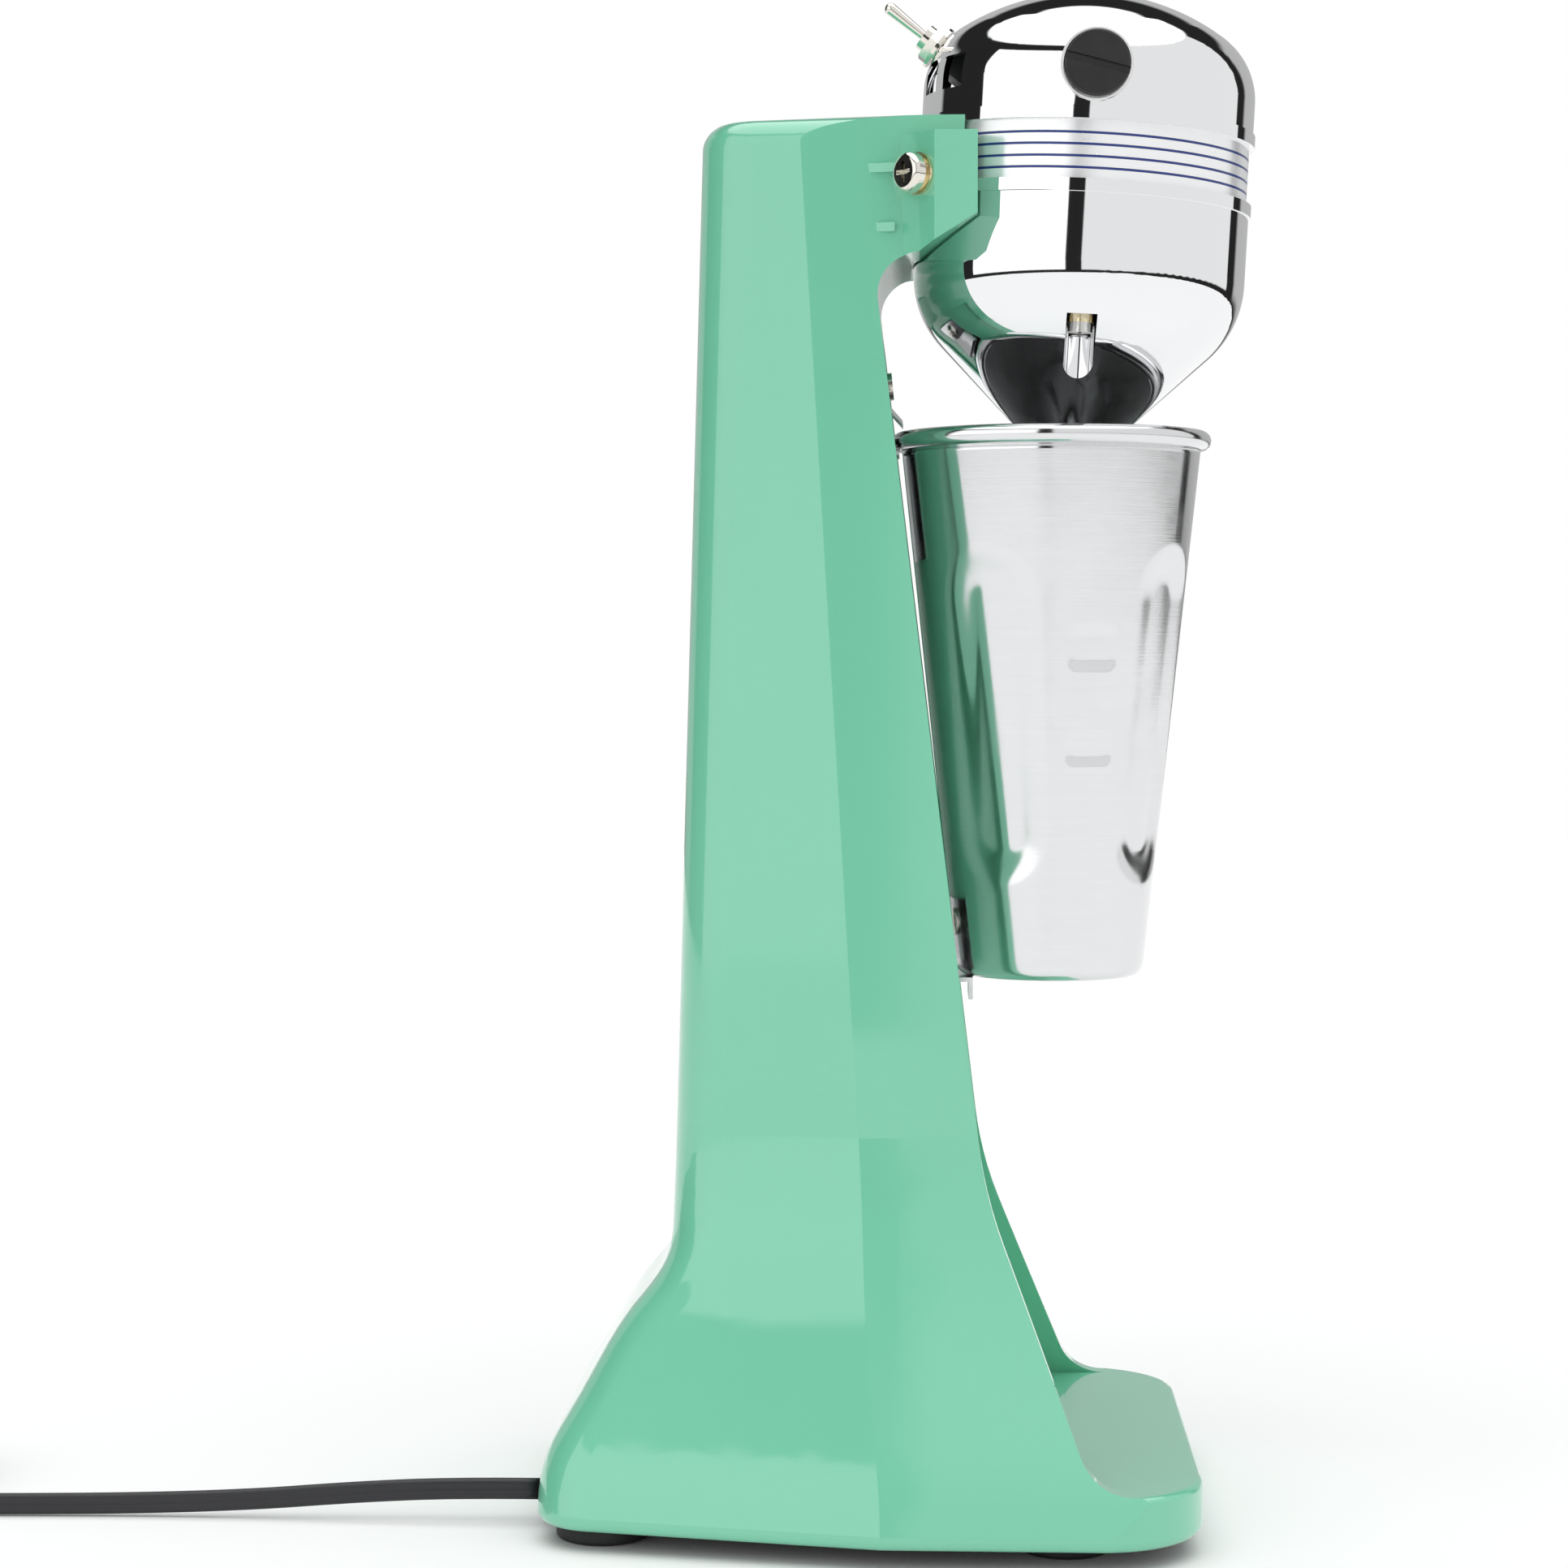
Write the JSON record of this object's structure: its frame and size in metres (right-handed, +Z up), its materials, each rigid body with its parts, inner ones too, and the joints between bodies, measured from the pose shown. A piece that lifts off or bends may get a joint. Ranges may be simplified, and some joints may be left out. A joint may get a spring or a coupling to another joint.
{
  "type": "milkshake mixer",
  "caption": "Counter-top milkshake mixer: green cast stand, chrome motor head with toggle switch, mixing rod and a brushed metal cup hung under the head.",
  "frame": {"origin": "middle of the footprint on the counter", "axes": "+Z up; -Y towards the cup and motor head; +Y towards the column's back and the lead; X from side to side"},
  "size_m": [0.162, 0.4694, 0.412],
  "materials": {
    "enamel_green": "gloss",
    "chrome_shell": "mirror polished",
    "band_silver": "satin with four thin dark blue lines",
    "cup_steel": "fine circumferential brushing",
    "strip_steel": "bright",
    "plate_black": "satin",
    "ballast_iron": "as cast",
    "foot_rubber": "matte",
    "fastener_zinc": "zinc plated",
    "washer_brass": "satin",
    "lamination": "laminated steel, varnished",
    "copper_wire": "enamelled copper wire",
    "commutator_brass": "turned copper",
    "bearing_steel": "ground",
    "fan_plastic": "moulded",
    "bridge_alloy": "cast",
    "brush_brass": "turned",
    "carbon": "carbon",
    "cap_black": "gloss phenolic",
    "agitator_steel": "polished",
    "lead_black": "smooth",
    "blade_brass": "bright"
  },
  "bodies": {
    "stand": {"ballast_weight": "ballast_iron", "base_plate": "plate_black", "base_screws": "fastener_zinc", "bearing_bridge": "bridge_alloy", "brush_caps": "cap_black", "brush_holders": "brush_brass", "brush_springs": "bearing_steel", "carbon_brushes": "carbon", "cord_coil": "lead_black", "cord_strain_relief": "lead_black", "cup_bracket": "strip_steel", "cup_bracket_screw": "chrome_shell", "cup_rest": "strip_steel", "cup_rest_screw": "chrome_shell", "ear_screws": "chrome_shell", "ear_washers": "washer_brass", "field_coils": "copper_wire", "field_core": "lamination", "foot_screws": "fastener_zinc", "housing_nuts": "fastener_zinc", "housing_screws": "fastener_zinc", "housing_washers": "washer_brass", "inner_lead": "lead_black", "lead_grommet": "lead_black", "lower_bearing": "bearing_steel", "lower_motor_housing": "chrome_shell", "plug_blades": "blade_brass", "power_cord": "lead_black", "power_plug": "lead_black", "rubber_feet": "foot_rubber", "stand_housing": "enamel_green", "toggle_bushing": "chrome_shell", "toggle_nut": "chrome_shell", "toggle_switch_body": "fan_plastic", "toggle_washer": "chrome_shell", "trim_band": "band_silver", "upper_bearing": "bearing_steel", "upper_motor_housing": "chrome_shell"},
    "rotor": {"armature_core": "lamination", "armature_windings": "copper_wire", "commutator": "commutator_brass", "motor_shaft": "bearing_steel", "cooling_fan": "fan_plastic", "rod_collar": "chrome_shell", "mixing_rod": "chrome_shell", "agitator_disc": "agitator_steel"},
    "toggle": {"toggle_lever": "chrome_shell"},
    "cup": {"mixing_cup": "cup_steel"}
  },
  "joints": [
    {"name": "motor_spin", "type": "hinge", "parent": "stand", "child": "rotor", "pos_m": [0, -0.0494, 0.3566], "axis": [0, -0.0541, 0.9985], "continuous": true},
    {"name": "toggle_throw", "type": "hinge", "parent": "stand", "child": "toggle", "pos_m": [0, -0.00963, 0.39866], "axis": [0, -0.6309, 0.7759], "range_deg": [-13, 13]},
    {"name": "cup_swing", "type": "hinge", "parent": "stand", "child": "cup", "pos_m": [0, 0.0001, 0.291], "axis": [-1, 0, 0], "range_deg": [0, 4]}
  ]
}
